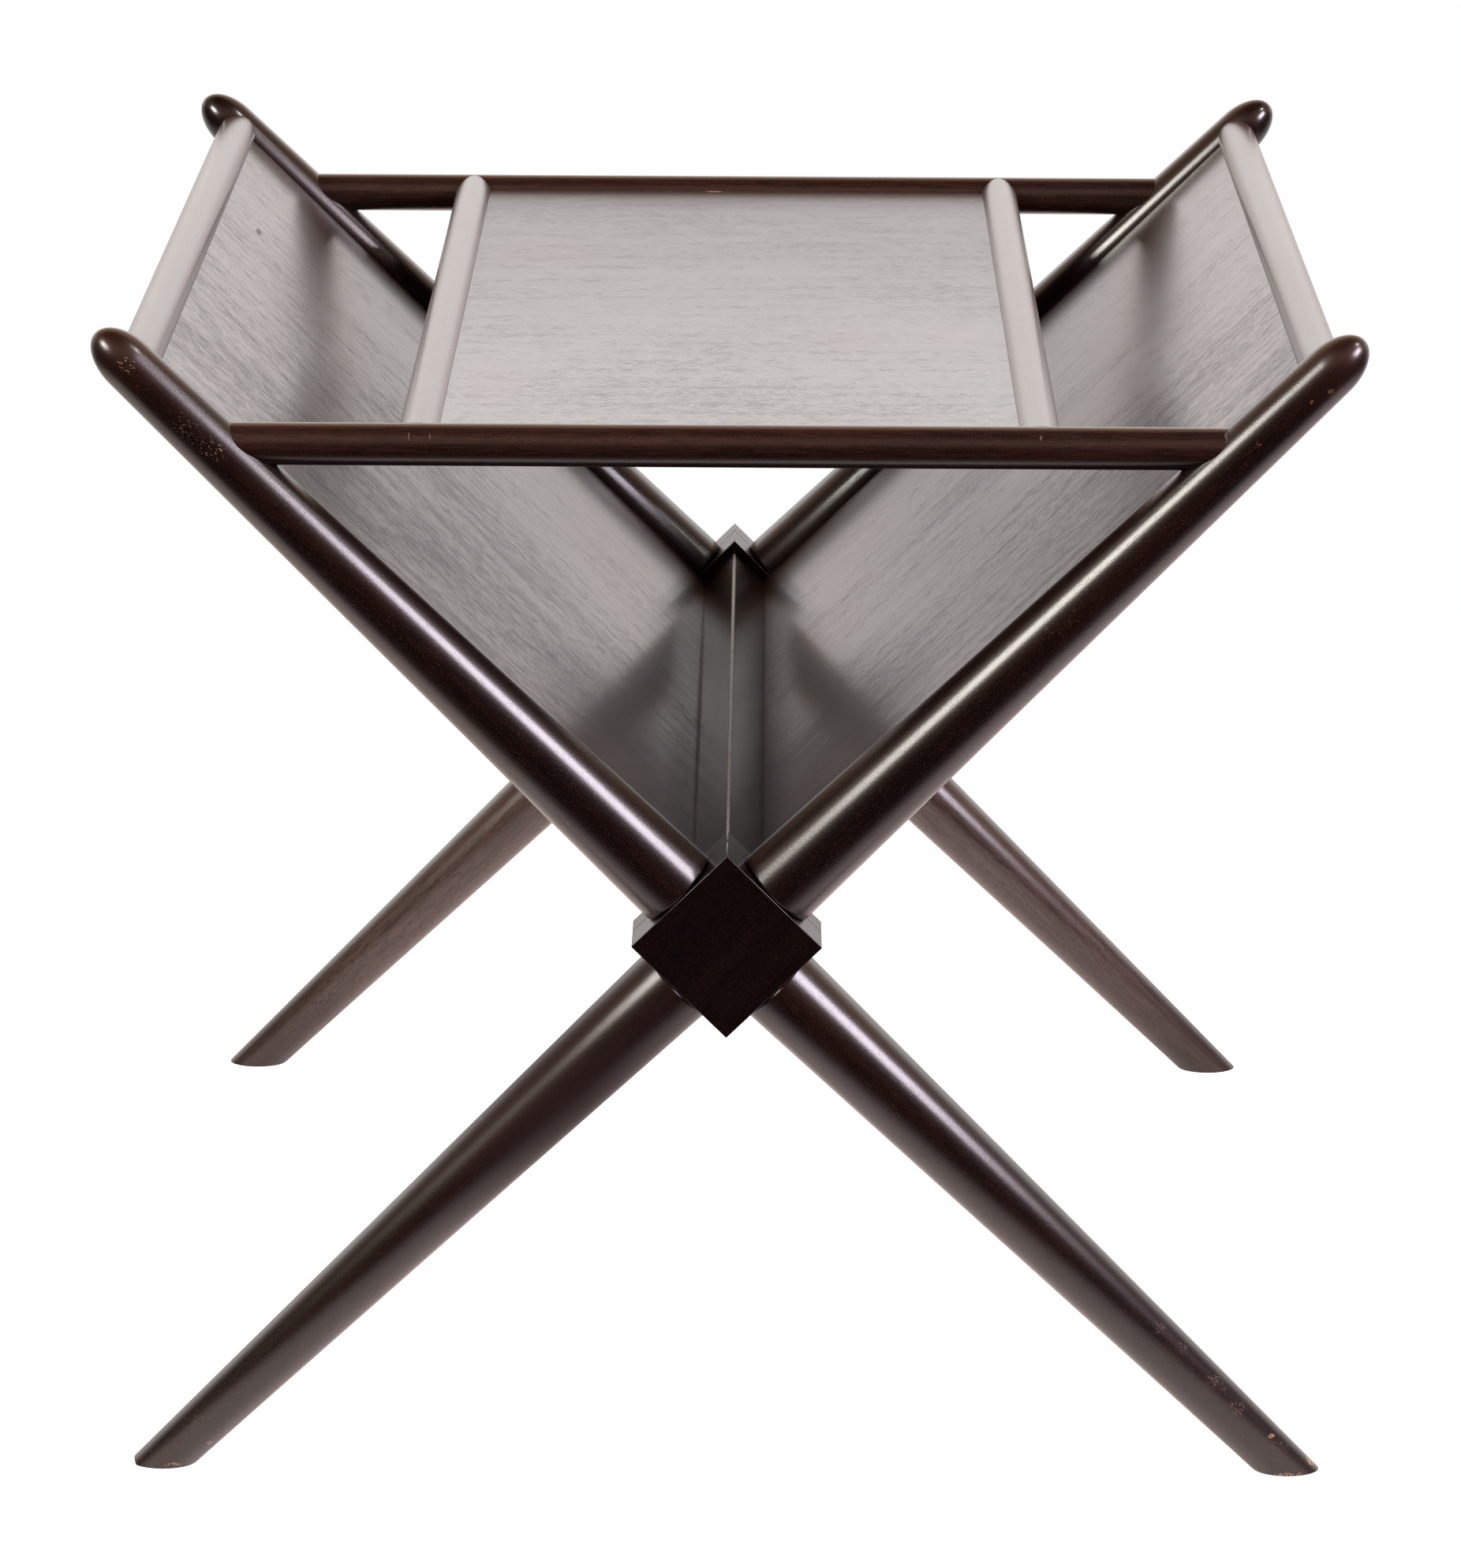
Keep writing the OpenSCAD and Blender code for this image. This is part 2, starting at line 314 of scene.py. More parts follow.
def make_rail(end, material):
    node = END_NAMES[end] + "_rail"
    piece = rail_bar(node + "_round", end)
    for side in (LEFT, RIGHT):
        boolean(piece, arm_cutter(side, end))
    boolean(piece, tray_cutter())
    finish_piece(piece, node, material)


def make_top_rod(side, material):
    node = SIDE_NAMES[side] + "_top_rod"
    centre = Vector((0, 0, HUB_Z)) + arm_axis(side) * TOP_ROD_AT
    piece = round_bar(node + "_round", centre, Y_AXIS, ARM_PLANE)
    for end in (FRONT, BACK):
        boolean(piece, arm_cutter(side, end))
    boolean(piece, panel_cutter(side))
    finish_piece(piece, node, material)


def make_tray_rod(side, material):
    node = f"tray_{SIDE_NAMES[side]}_rod"
    piece = tray_rod_bar(node + "_round", side)
    for end in (FRONT, BACK):
        boolean(piece, rail_bar("rail_cutter", end, GLUE))
    boolean(piece, tray_cutter())
    finish_piece(piece, node, material)


def make_tray(material):
    """The board, hollowed along its edges to fit rods and rails, with a tongue all round."""
    place = Matrix.Translation((0, 0, RAIL_Z))
    reach = math.sqrt((ROD_R + GLUE) ** 2 - (TRAY_T / 2) ** 2)
    size = (2 * (TRAY_ROD_X - reach), 2 * (ARM_PLANE - reach), TRAY_T)
    piece = block("tray_panel_board", size, place)
    for side in (LEFT, RIGHT):
        boolean(piece, tray_rod_bar("rod_cutter", side, GLUE))
    for end in (FRONT, BACK):
        boolean(piece, rail_bar("rail_cutter", end, GLUE))
    size = (2 * (TRAY_ROD_X - GROOVE_FLOOR - GLUE), 2 * (ARM_PLANE - GROOVE_FLOOR - GLUE), TONGUE_T)
    boolean(piece, block("tongue", size, place), "UNION")
    finish_piece(piece, "tray_panel", material, place)


def make_side_panel(side, material):
    """A sloping board, notched at its lower corners round the hubs."""
    node = SIDE_NAMES[side] + "_panel"
    low = BEAM_SIDE / 2 - BEAM_GROOVE + GLUE
    high = TOP_ROD_AT - GROOVE_FLOOR - GLUE
    size = (PANEL_T, 2 * (ARM_PLANE - PANEL_INSET), high - low)
    place = slope_place(side)
    piece = block(node + "_board", size, place @ Matrix.Translation((0, 0, (low + high) / 2)), PANEL_BEVEL)
    grown = HUB_SIDE + 2 * GLUE
    for end in (FRONT, BACK):
        boolean(piece, block("hub_cutter", (grown, HUB_T + 2 * GLUE, grown), on_corner(hub_centre(end))))
    finish_piece(piece, node, material, place)


# Materials

class Nodes:
    """Short calls for building a node tree."""

    def __init__(self, tree):
        self.tree = tree

    def add(self, kind, settings=None, **inputs):
        """A new node with its inputs linked or set; their names have _ for a space."""
        node = self.tree.nodes.new("ShaderNode" + kind)
        for key, value in (settings or {}).items():
            setattr(node, key, value)
        for key, value in inputs.items():
            self.set(node.inputs[key.replace("_", " ")], value)
        return node

    def set(self, socket, value):
        if isinstance(value, bpy.types.NodeSocket):
            self.tree.links.new(value, socket)
        else:
            socket.default_value = value

    def math(self, operation, first, second=0.0):
        node = self.add("Math", {"operation": operation})
        self.set(node.inputs[0], first)
        self.set(node.inputs[1], second)
        return node.outputs[0]

    def total(self, *terms):
        """The sum of (value, weight) pairs."""
        result = 0.0
        for value, weight in terms:
            result = self.math("ADD", result, self.math("MULTIPLY", value, weight))
        return result

    def less(self, amount, mask, share):
        """The amount lowered by that share where the mask is 1."""
        rest = self.math("SUBTRACT", 1.0, self.math("MULTIPLY", mask, share))
        return self.math("MULTIPLY", amount, rest)

    def blend(self, factor, first, second):
        """A colour between first and second."""
        node = self.add("Mix", {"data_type": "RGBA"})
        self.set(node.inputs["Factor"], factor)
        self.set(node.inputs["A"], first)
        self.set(node.inputs["B"], second)
        return node.outputs["Result"]

    def span(self, value, from_low, from_high, to_low=0.0, to_high=1.0):
        """The value taken smoothly from one range to the other, and held beyond its ends."""
        limits = dict(From_Min=from_low, From_Max=from_high, To_Min=to_low, To_Max=to_high)
        node = self.add("MapRange", {"interpolation_type": "SMOOTHSTEP"}, Value=value, **limits)
        return node.outputs["Result"]

    def length(self, vector):
        return self.add("VectorMath", {"operation": "LENGTH"}, Vector=vector).outputs["Value"]

    def noise(self, vector, stretch, scale, detail=1.0, roughness=0.5):
        """Noise that is stretch times as long as wide along x."""
        space = self.add("Mapping", Vector=vector, Scale=(1 / stretch, 1, 1)).outputs["Vector"]
        node = self.add("TexNoise", Vector=space, Scale=scale, Detail=detail, Roughness=roughness)
        return node.outputs["Fac"]


def new_material(name):
    """A material, the short calls for its nodes, and its shader."""
    material = bpy.data.materials.new(name)
    material.use_nodes = True
    tree = material.node_tree
    return material, Nodes(tree), tree.nodes["Principled BSDF"]


def rgb(red, green, blue):
    return (red, green, blue, 1)


# Noises of the wood as (stretch along the grain, scale, detail, roughness), the last two only where given
STREAK = (14, 110, 2)
MOTTLE = (1.8, 11, 2)
SWAY = (6, 30)
DUST = (1.2, 1900, 1)
SKIN = (1.5, 1300, 1)
GRIT = (2, 1500, 2)
FIBRE_SCALE = 900
DASH_DETAIL = (3, 0.65)
CLOUD_DETAIL = 3
RING_SWAY = 9 * MM
GRAIN_DEPTH = 0.12 * MM
SKIN_DEPTH = 0.1 * MM
PORE_COLOUR = rgb(0.004, 0.002, 0.0015)
DUST_COLOUR = rgb(0.17, 0.105, 0.09)

# A point on a wood's pith, and the pith's tilt to the grain
HEART = (0, 0.05, 0.03, 0.03)

# Looks of the wood. The pores come as long dashes and as fine ones.
#   rings, line          width of a growth ring, and how dark the line at its start is
#   patchy, cloud        how unevenly the pores are spread, and the noise for it
#   dash_size, pore_size stretch and scale of the two kinds of pores
#   dash_from            the lower it is, the more dashes there are
#   dash_cut, pore_cut   the share of the gloss that they take away
#   fibre, dust, skin    stretch of the fibres, amount of pale dust, unevenness of the varnish
#   roughness, specular  the wood below the varnish
#   coat and coat_...    the varnish
TURNED = dict(
    rings=5 * MM, line=0.2, patchy=1.0, cloud=(1.2, 70),
    dash_size=(6, 800), dash_from=1.02, dash_cut=0.25, pore_size=(5, 1600), pore_cut=0.2,
    fibre=12, dust=0.22, skin=0.40,
    roughness=0.45, specular=0.15, coat=1.0, coat_roughness=0.25, coat_ior=1.65,
)
BEHIND = dict(TURNED, dust=0.1, skin=0.15, coat_roughness=0.20)
SQUARED = dict(TURNED, dust=0.08, skin=0.03, roughness=0.5, coat_ior=1.5, specular=0.06)
BEAM = dict(
    SQUARED, line=0.1, dash_from=1.1, dash_cut=0.1, pore_cut=0.3, dust=0.3, skin=0.1, coat=0.58,
)
ROD = dict(
    TURNED, line=0.1, dash_from=1.04, dash_cut=0.10, pore_cut=0.08,
    dust=0.1, skin=0.05, specular=0.5, coat_ior=1.82,
)
BOARD = dict(
    rings=8 * MM, line=0.4, patchy=0.9, cloud=(4.5, 90),
    dash_size=(7, 900), dash_from=0.85, dash_cut=0.50, pore_size=(5, 1500), pore_cut=0.4,
    fibre=6, dust=0.15, skin=0.05,
    roughness=0.42, specular=0.25, coat=1.0, coat_roughness=0.18, coat_ior=1.80,
)
TRAY = dict(
    BOARD, rings=14 * MM, line=0.03, patchy=0.8, cloud=(1.2, 70),
    dash_size=(4, 850), dash_from=0.82, dash_cut=0.26, pore_size=(3, 1400), pore_cut=0.24,
    coat_ior=1.70,
)


def ring_phase(n, board, heart, rings, sway):
    """Growth rings as 0 to 1 across each, and the distance from the pith.

    The pith is a line nearly along the grain; the heart holds a point on it and its tilt.
    """
    x0, y0, z0, tilt = heart
    from_heart = n.add("Mapping", Vector=board, Location=(-x0, -y0, -z0)).outputs["Vector"]
    place = n.add("SeparateXYZ", Vector=from_heart).outputs
    depth = n.math("ADD", place["Z"], n.math("MULTIPLY", place["X"], tilt))
    reach = n.length(n.add("CombineXYZ", Y=place["Y"], Z=depth).outputs["Vector"])
    ring = n.math("FRACT", n.math("DIVIDE", n.math("ADD", reach, sway), rings))
    return ring, reach


def spot(n, where, centre, radii):
    """Distance from a centre as a share of the radii, both in mm."""
    scale = [1 / (r * MM) for r in radii]
    shift = [-c / r for c, r in zip(centre, radii)]
    return n.length(n.add("Mapping", Vector=where, Scale=scale, Location=shift).outputs["Vector"])


def wear_and_highlight_marks(n, where, sample, marks, colour, gloss):
    """Lays bare the marks, and paints the highlight marks; a small amount leaves specks, a large one a bare
    patch.
    """
    grit = n.noise(sample, *GRIT)
    for centre, radii, amount, bare_or_highlight in marks:
        near = n.span(spot(n, where, centre, radii), 0.3, 1.0, amount, 0.0)
        mask = n.span(n.math("ADD", grit, near), 0.94, 1.0)
        colour = n.blend(mask, colour, bare_or_highlight)
        gloss = n.less(gloss, mask, 0.9)
    return colour, gloss


def patched(n, where, patches, colour, gloss):
    """Tints the soft patches, some of them with painted shade, and dulls their varnish by that share."""
    for centre, radii, share, tint in patches:
        mask = n.span(spot(n, where, centre, radii), 0.0, 1.0, 1.0, 0.0)
        colour = n.blend(n.math("MULTIPLY", mask, 0.6), colour, tint)
        gloss = n.less(gloss, mask, share)
    return colour, gloss


def wood(name, turn, tones, shift, look, heart=HEART, wear_and_painted_light=((), ())):
    """Stained, varnished wood with rings, streaks, open pores, wear and painted light, in real sizes.

    The turn brings the grain along x. The shift moves the noises, so that the pieces differ. The tones are
    the darkest and the lightest of a stain, or of its lighter copy that paints light. The wear and painted
    light is
    a pair of marks and patches: wear, with a painted highlight among the marks and painted shade among the
    patches.
    """
    material, n, shader = new_material(name)
    where = n.add("TexCoord").outputs["Object"]
    board = n.add("Mapping", Vector=where, Rotation=turn).outputs["Vector"]
    offset = (shift, 0.37 * shift, 0.61 * shift)
    sample = n.add("Mapping", Vector=board, Location=offset).outputs["Vector"]

    # Where the pores are dense
    streak = n.noise(sample, *STREAK)
    mottle = n.noise(sample, *MOTTLE)
    cloud = n.noise(sample, *look["cloud"], CLOUD_DETAIL)
    fibre = n.noise(sample, look["fibre"], FIBRE_SCALE)
    sway = n.math("MULTIPLY", n.math("SUBTRACT", n.noise(sample, *SWAY), 0.5), RING_SWAY)
    ring, reach = ring_phase(n, board, heart, look["rings"], sway)
    bands = n.math("ADD", n.span(ring, 0.0, 0.5, 0.05, 0.0), n.span(reach, 0.1, 0.5, 0.04, -0.09))
    patchy = n.math("SUBTRACT", n.total((streak, 0.08), (mottle, 0.30), (cloud, 0.28)), 0.33)
    dense = n.total((bands, 1.0), (patchy, look["patchy"]), (0.33, 1.0))

    # Dashes, pores, dust and ring lines
    dash = n.math("ADD", n.noise(sample, *look["dash_size"], *DASH_DETAIL), dense)
    dash = n.span(dash, look["dash_from"], look["dash_from"] + 0.04)
    pore = n.math("ADD", n.noise(sample, *look["pore_size"]), n.math("MULTIPLY", dense, 0.5))
    pore = n.span(pore, 0.76, 0.84)
    dust = n.math("MULTIPLY", n.span(n.noise(sample, *DUST), 0.62, 0.74), look["dust"])
    line = n.math("MULTIPLY", n.span(ring, 0.0, 0.14, look["line"], 0.0), n.span(streak, 0.40, 0.60))
    gap = n.math("MAXIMUM", dash, line)
    hollow = n.math("MAXIMUM", gap, n.math("MULTIPLY", pore, 0.7))

    # Colour and gloss
    tone = n.total((streak, 0.35), (mottle, 0.25), (fibre, 0.40))
    colour = n.blend(n.span(tone, 0.38, 0.62), *tones)
    colour = n.blend(n.math("MULTIPLY", hollow, 0.95), colour, PORE_COLOUR)
    gloss = n.less(n.less(look["coat"], gap, look["dash_cut"]), pore, look["pore_cut"])
    gloss = n.less(gloss, n.total((cloud, 0.35), (mottle, 0.35), (fibre, 0.30)), 0.2)
    colour = n.blend(dust, colour, DUST_COLOUR)
    marks, patches = wear_and_painted_light
    colour, gloss = patched(n, where, patches, colour, gloss)
    colour, gloss = wear_and_highlight_marks(n, where, sample, marks, colour, gloss)
    n.set(shader.inputs["Base Color"], colour)
    n.set(shader.inputs["Coat Weight"], gloss)
    n.set(shader.inputs["Roughness"], n.total((look["roughness"] - 0.1, 1.0), (tone, 0.2)))
    shader.inputs["Specular IOR Level"].default_value = look["specular"]
    shader.inputs["Specular Tint"].default_value = rgb(1.0, 0.75, 0.68)
    shader.inputs["Coat Roughness"].default_value = look["coat_roughness"]
    shader.inputs["Coat IOR"].default_value = look["coat_ior"]

    # Relief of the wood and of the varnish
    relief = n.total((fibre, 0.3), (hollow, -1.0))
    bump = n.add("Bump", Strength=0.3, Distance=GRAIN_DEPTH, Height=relief)
    n.set(shader.inputs["Normal"], bump.outputs["Normal"])
    skin = n.total((n.noise(sample, *SKIN), 0.5), (hollow, -0.3))
    coat_bump = n.add("Bump", Strength=look["skin"], Distance=SKIN_DEPTH, Height=skin)
    n.set(shader.inputs["Coat Normal"], coat_bump.outputs["Normal"])
    return material


# Light, floor and camera

LAMP_DISTANCE = 5
BACKDROP = 1.45
HORIZON = 0.88


def soft_light(name, azimuth, elevation, size, turn, power, colour):
    """A rectangular lamp aimed at the table's middle, turned in its plane; azimuth runs from +Y to +X."""
    light = bpy.data.lights.new(name, "AREA")
    light.shape = "RECTANGLE"
    light.size, light.size_y = size
    light.energy = power
    light.color = colour
    lamp = bpy.data.objects.new(name, light)
    bpy.context.scene.collection.objects.link(lamp)
    a, e = math.radians(azimuth), math.radians(elevation)
    centre = Vector((0, 0, HUB_Z))
    way = Vector((math.sin(a) * math.cos(e), math.cos(a) * math.cos(e), math.sin(e)))
    place = centre + way * LAMP_DISTANCE
    lamp.location = place
    lamp.rotation_mode = "QUATERNION"
    facing = (centre - place).to_track_quat("-Z", "Y")
    lamp.rotation_quaternion = facing @ Quaternion(Z_AXIS, math.radians(turn))


def make_world():
    """White to the camera.

    To the object it is a white backdrop behind, and in front a dark room with warm light high on its walls.
    """
    world = bpy.data.worlds.new("studio")
    world.use_nodes = True
    bpy.context.scene.world = world
    world.node_tree.nodes.clear()
    n = Nodes(world.node_tree)
    way = n.add("SeparateXYZ", Vector=n.add("TexCoord").outputs["Generated"]).outputs
    dim = n.span(way["Z"], 0.72, 0.96, 1.0, 0.06)
    wall = n.blend(n.span(way["Z"], 0.05, 0.16), rgb(1.0, 0.91, 0.88), rgb(1, 1, 1))
    wall = n.blend(n.span(way["Z"], 0.30, 0.46), wall, rgb(0.56, 0.37, 0.25))
    back = n.add("Background", Color=wall)
    foot = n.span(way["Z"], 0.0, 0.12, HORIZON, BACKDROP)
    rise = n.math("MULTIPLY", foot, n.span(way["Z"], 0.18, 0.30, 1.0, 1.2))
    behind = n.span(way["Y"], 0.0, 0.75)
    n.set(back.inputs["Strength"], n.math("MULTIPLY", behind, n.math("MULTIPLY", rise, dim)))
    front = n.add("Background", Color=rgb(1.0, 0.58, 0.42))
    glow = n.math("MULTIPLY", n.span(way["Z"], 0.20, 0.50, 0.01, 0.42), dim)
    n.set(front.inputs["Strength"], n.math("MULTIPLY", n.span(way["Y"], -0.1, 0.5, 1.0, 0.0), glow))
    room = n.add("AddShader")
    n.set(room.inputs[0], back.outputs["Background"])
    n.set(room.inputs[1], front.outputs["Background"])
    seen = n.add("Background", Color=rgb(1, 1, 1))
    mix = n.add("MixShader", Fac=n.add("LightPath").outputs["Is Camera Ray"])
    n.set(mix.inputs[1], room.outputs["Shader"])
    n.set(mix.inputs[2], seen.outputs["Background"])
    n.set(n.add("OutputWorld").inputs["Surface"], mix.outputs["Shader"])


def make_floor():
    """White paper, plain white to the camera away from the object.

    Reflections see it run into the world's backdrop.
    """
    bm = bmesh.new()
    low, high = Vector((-3.5, -1.6, 0)), Vector((3.5, 4.5, 0))
    corners = [(low.x, low.y, 0), (high.x, low.y, 0), (high.x, high.y, 0), (low.x, high.y, 0)]
    bm.faces.new([bm.verts.new(corner) for corner in corners])
    floor = new_object("floor", bm)
    material, n, shader = new_material("floor_paper")
    ray = n.add("LightPath").outputs
    where = n.add("TexCoord").outputs["Object"]
    place = n.add("SeparateXYZ", Vector=where).outputs
    distance = n.length(where)
    far = n.span(distance, 0.45, 1.5)
    front = n.span(place["Y"], -0.66, -0.34)
    near = n.math("MULTIPLY", n.math("SUBTRACT", 1.0, far), front)
    n.set(shader.inputs["Base Color"], n.blend(near, rgb(0, 0, 0), rgb(0.86, 0.86, 0.86)))
    shader.inputs["Roughness"].default_value = 0.9
    shader.inputs["Specular IOR Level"].default_value = 0.0
    warm = n.math("MULTIPLY", near, n.math("SUBTRACT", 1.0, ray["Is Camera Ray"]))
    n.set(shader.inputs["Emission Color"], n.blend(warm, rgb(1, 1, 1), rgb(1.0, 0.72, 0.66)))
    to_camera = n.math("MULTIPLY", ray["Is Camera Ray"], n.span(near, 0.0, 0.9, 1.0, 0.8))
    northing = n.math("DIVIDE", place["Y"], distance)
    sweep = n.span(northing, 0.0, 0.75, 0.01, HORIZON)
    side = n.span(place["X"], -0.4, 0.8, 0.35, 0.25)
    glow = n.total((n.math("MULTIPLY", sweep, far), 1.0), (near, side))
    to_gloss = n.math("MULTIPLY", ray["Is Glossy Ray"], glow)
    n.set(shader.inputs["Emission Strength"], n.math("ADD", to_camera, to_gloss))
    floor.data.materials.append(material)


def make_camera():
    """The photograph's view, fitted to its lines; the focal length is in the photograph's pixels."""
    image_height, focal_pixels = 1988, 8136.3
    yaw, pitch, roll = math.radians(-0.293), math.radians(16.463), math.radians(0.275)
    data = bpy.data.cameras.new("camera")
    data.sensor_fit = "AUTO"
    data.sensor_width = 36
    data.lens = data.sensor_width * focal_pixels / image_height
    data.clip_start, data.clip_end = 0.1, 50
    camera = bpy.data.objects.new("camera", data)
    bpy.context.scene.collection.objects.link(camera)
    level = math.cos(pitch)
    forward = Vector((math.sin(yaw) * level, math.cos(yaw) * level, -math.sin(pitch)))
    camera.location = (16.23 * MM, -3205.46 * MM, HUB_Z + 933.23 * MM)
    camera.rotation_mode = "QUATERNION"
    camera.rotation_quaternion = forward.to_track_quat("-Z", "Y") @ Quaternion(Z_AXIS, roll)
    bpy.context.scene.camera = camera


make_camera()
make_world()
make_floor()
soft_light(
    "left_softbox", azimuth=-128.5, elevation=31.6,
    size=(1.8, 1.15), turn=-27, power=150, colour=(1.0, 0.98, 0.90),
)
soft_light(
    "right_softbox", azimuth=121.1, elevation=28.8,
    size=(2.0, 1.4), turn=25, power=195, colour=(0.95, 0.88, 1.0),
)
soft_light(
    "high_softbox", azimuth=103.5, elevation=53,
    size=(0.5, 0.5), turn=0, power=34, colour=(1.0, 0.97, 0.92),
)
bpy.context.scene.view_settings.view_transform = "Standard"

# Marks of wear, where the photograph shows them, and a painted highlight on the beam's ridge: centre and
# radii in mm, amount, colour
RAW = rgb(0.40, 0.25, 0.15)
RUBBED = rgb(0.13, 0.088, 0.084)
CHIP = rgb(0.17, 0.065, 0.040)
STAIN = rgb(0.09, 0.045, 0.045)
# A light grey that paints a highlight, not bare wood
RIDGE_HIGHLIGHT = rgb(0.60, 0.62, 0.63)
WEAR_AND_HIGHLIGHT = {
    "front_left_arm": [
        ((-279, -312, 549), (10, 5, 8), 0.34, RAW),
        ((-270, -313, 541), (12, 5, 11), 0.30, CHIP),
        ((-247, -313, 519), (26, 5, 24), 0.33, RUBBED),
        ((-238, -314, 510), (14, 5, 13), 0.33, RAW),
    ],
    "front_right_arm": [
        ((277, -311, 540), (5, 4, 3), 0.50, CHIP),
        ((269, -312, 535), (2.5, 3, 2), 0.50, CHIP),
        ((287, -309, 552), (1.5, 3, 1.2), 0.55, RUBBED),
        ((245, -313, 515), (3, 4, 2.5), 0.45, CHIP),
        ((136, -308, 384), (8, 8, 5), 0.36, RUBBED),
        ((155, -315, 430), (24, 6, 22), 0.29, CHIP),
    ],
    "front_left_leg": [
        ((-250, -309.5, 13), (3, 3, 2.5), 0.52, RAW),
        ((-268, -311, 2.5), (8, 5, 2), 0.46, RAW),
        ((-283, -308, 13), (4, 5, 3), 0.36, RAW),
        ((-203, -313, 64), (7, 5, 8), 0.42, RUBBED),
        ((-262, -307, 30), (40, 12, 30), 0.31, RUBBED),
    ],
    "front_right_leg": [
        ((286, -302, 6), (6, 9, 6), 0.54, RAW),
        ((274, -311, 1), (14, 5, 2), 0.46, RAW),
        ((265, -308, 20), (3.5, 4, 2.5), 0.55, RAW),
        ((262, -302, 32), (4, 4, 3), 0.50, RAW),
        ((209, -309, 76), (9, 7, 7), 0.40, RUBBED),
        ((220, -309, 65), (9, 7, 7), 0.38, RUBBED),
        ((237, -309, 48), (15, 7, 10), 0.40, RUBBED),
        ((249, -310, 36), (12, 7, 8), 0.40, RUBBED),
        ((270, -309, 15), (12, 8, 9), 0.38, RUBBED),
    ],
    "front_rail": [
        ((-148.5, -308, 515), (0.6, 4, 3.5), 0.60, RUBBED),
        ((-138.7, -308, 515), (0.6, 4, 3), 0.55, RUBBED),
        ((144.6, -308, 516), (1.2, 4, 3), 0.55, RUBBED),
        ((231, -305, 516), (3, 9, 8), 0.50, RUBBED),
    ],
    "tray_panel": [
        ((0, 288, 513.4), (130, 2, 3), 0.34, RAW),
        ((-12, 287, 513.4), (8, 3, 3), 0.60, RAW),
    ],
    "center_beam": [
        ((-16.3, 0, 293.4), (3.5, 270, 3.5), 0.43, RAW),
        # The bright line along the beam's ridge is a painted highlight
        ((0, 0, 309.3), (1.5, 900, 1.5), 0.68, RIDGE_HIGHLIGHT),
    ],
    "left_panel": [((-250.4, 115, 524.5), (3, 10, 3), 0.70, STAIN)],
}

# Soft patches, duller or tinted: centre and radii in mm, share of the gloss that goes, tint. Some are
# painted shade.
ROSY = rgb(0.105, 0.060, 0.054)
# Painted shade: a dark tint for shade and dark reflections painted onto the wood
PAINTED_SHADE = rgb(0.03, 0.018, 0.018)
RUST = rgb(0.034, 0.011, 0.0065)
PEAT = rgb(0.016, 0.011, 0.008)
PATCHES = {
    "tray_panel": [
        # Painted shade and reflection of the back rail, partly patina: the tray darkens towards the back
        ((0, 300, 513.4), (900, 600, 200), 0.36, PAINTED_SHADE),
        ((0, 294, 513.4), (900, 90, 60), 0.50, PAINTED_SHADE),
        ((-100, 119, 513.4), (40, 60, 20), 0.05, ROSY),
        ((112, -77, 513.4), (30, 50, 20), 0.05, ROSY),
        ((58, -87, 513.4), (30, 50, 20), 0.05, ROSY),
        ((-116, -190, 513.4), (30, 90, 20), 0.05, ROSY),
    ],
    "center_beam": [
        # Painted shade: the beam's right face and its seams with the panels are darker
        ((20, 0, 292), (26, 800, 26), 0.95, PAINTED_SHADE),
        ((-16.3, 0, 293.4), (2.5, 420, 2.5), 0.7, PAINTED_SHADE),
        ((16.3, 0, 293.4), (2.5, 420, 2.5), 0.7, PAINTED_SHADE),
    ],
    "front_left_arm": [((-290, -300, 558), (60, 60, 60), 0.0, RUST)],
    "front_right_arm": [((290, -300, 558), (60, 60, 60), 0.0, RUST)],
    # Painted shade: the front left leg is darker and duller under the front hub
    "front_left_leg": [((-75, -312, 196), (115, 80, 115), 0.85, PAINTED_SHADE)],
    # The back legs' feet are darker and a little duller
    "back_left_leg": [((-262, 300, 10), (90, 60, 90), 0.2, PEAT)],
    "back_right_leg": [((262, 300, 10), (90, 60, 90), 0.2, PEAT)],
    # On both panels, painted shade and reflection: darker in the middle, and low at the front by the beam
    "left_panel": [
        ((-130, 0, 400), (170, 1500, 170), 0.20, PAINTED_SHADE),
        ((-45, -215, 316), (100, 240, 100), 0.95, PAINTED_SHADE),
    ],
    "right_panel": [
        ((130, 0, 400), (170, 1500, 170), 0.34, PAINTED_SHADE),
        ((45, -215, 316), (100, 240, 100), 0.95, PAINTED_SHADE),
    ],
}


def wear_and_painted_light_of(node):
    """The marks and the patches of a node's piece."""
    return WEAR_AND_HIGHLIGHT.get(node, ()), PATCHES.get(node, ())


# Turns that bring a piece's grain along x
ARM_TURNS = {RIGHT: (0, SLOPE, 0), LEFT: (0, -SLOPE, 0)}
LEG_TURNS = {RIGHT: (0, -SLOPE, 0), LEFT: (0, SLOPE, 0)}
HUB_TURN = (0, math.pi / 4, 0)
ALONG_X = (0, 0, 0)
ALONG_Y = (0, 0, -math.pi / 2)

# Darkest and lightest tone of each stain, and of a lighter copy of espresso that paints light
ESPRESSO = (rgb(0.003, 0.0008, 0.0006), rgb(0.014, 0.0038, 0.0024))
# The espresso stain lightened for the back legs: painted light
ESPRESSO_PAINTED_LIGHT = (rgb(0.035, 0.020, 0.016), rgb(0.085, 0.052, 0.042))
EBONY = (rgb(0.003, 0.0012, 0.001), rgb(0.008, 0.0028, 0.002))
CHESTNUT = (rgb(0.010, 0.003, 0.002), rgb(0.030, 0.009, 0.0058))
UMBER = (rgb(0.026, 0.0145, 0.0115), rgb(0.056, 0.033, 0.027))
FAWN = (rgb(0.045, 0.032, 0.029), rgb(0.090, 0.066, 0.060))
PALE = (rgb(0.42, 0.27, 0.13), rgb(0.62, 0.45, 0.27))

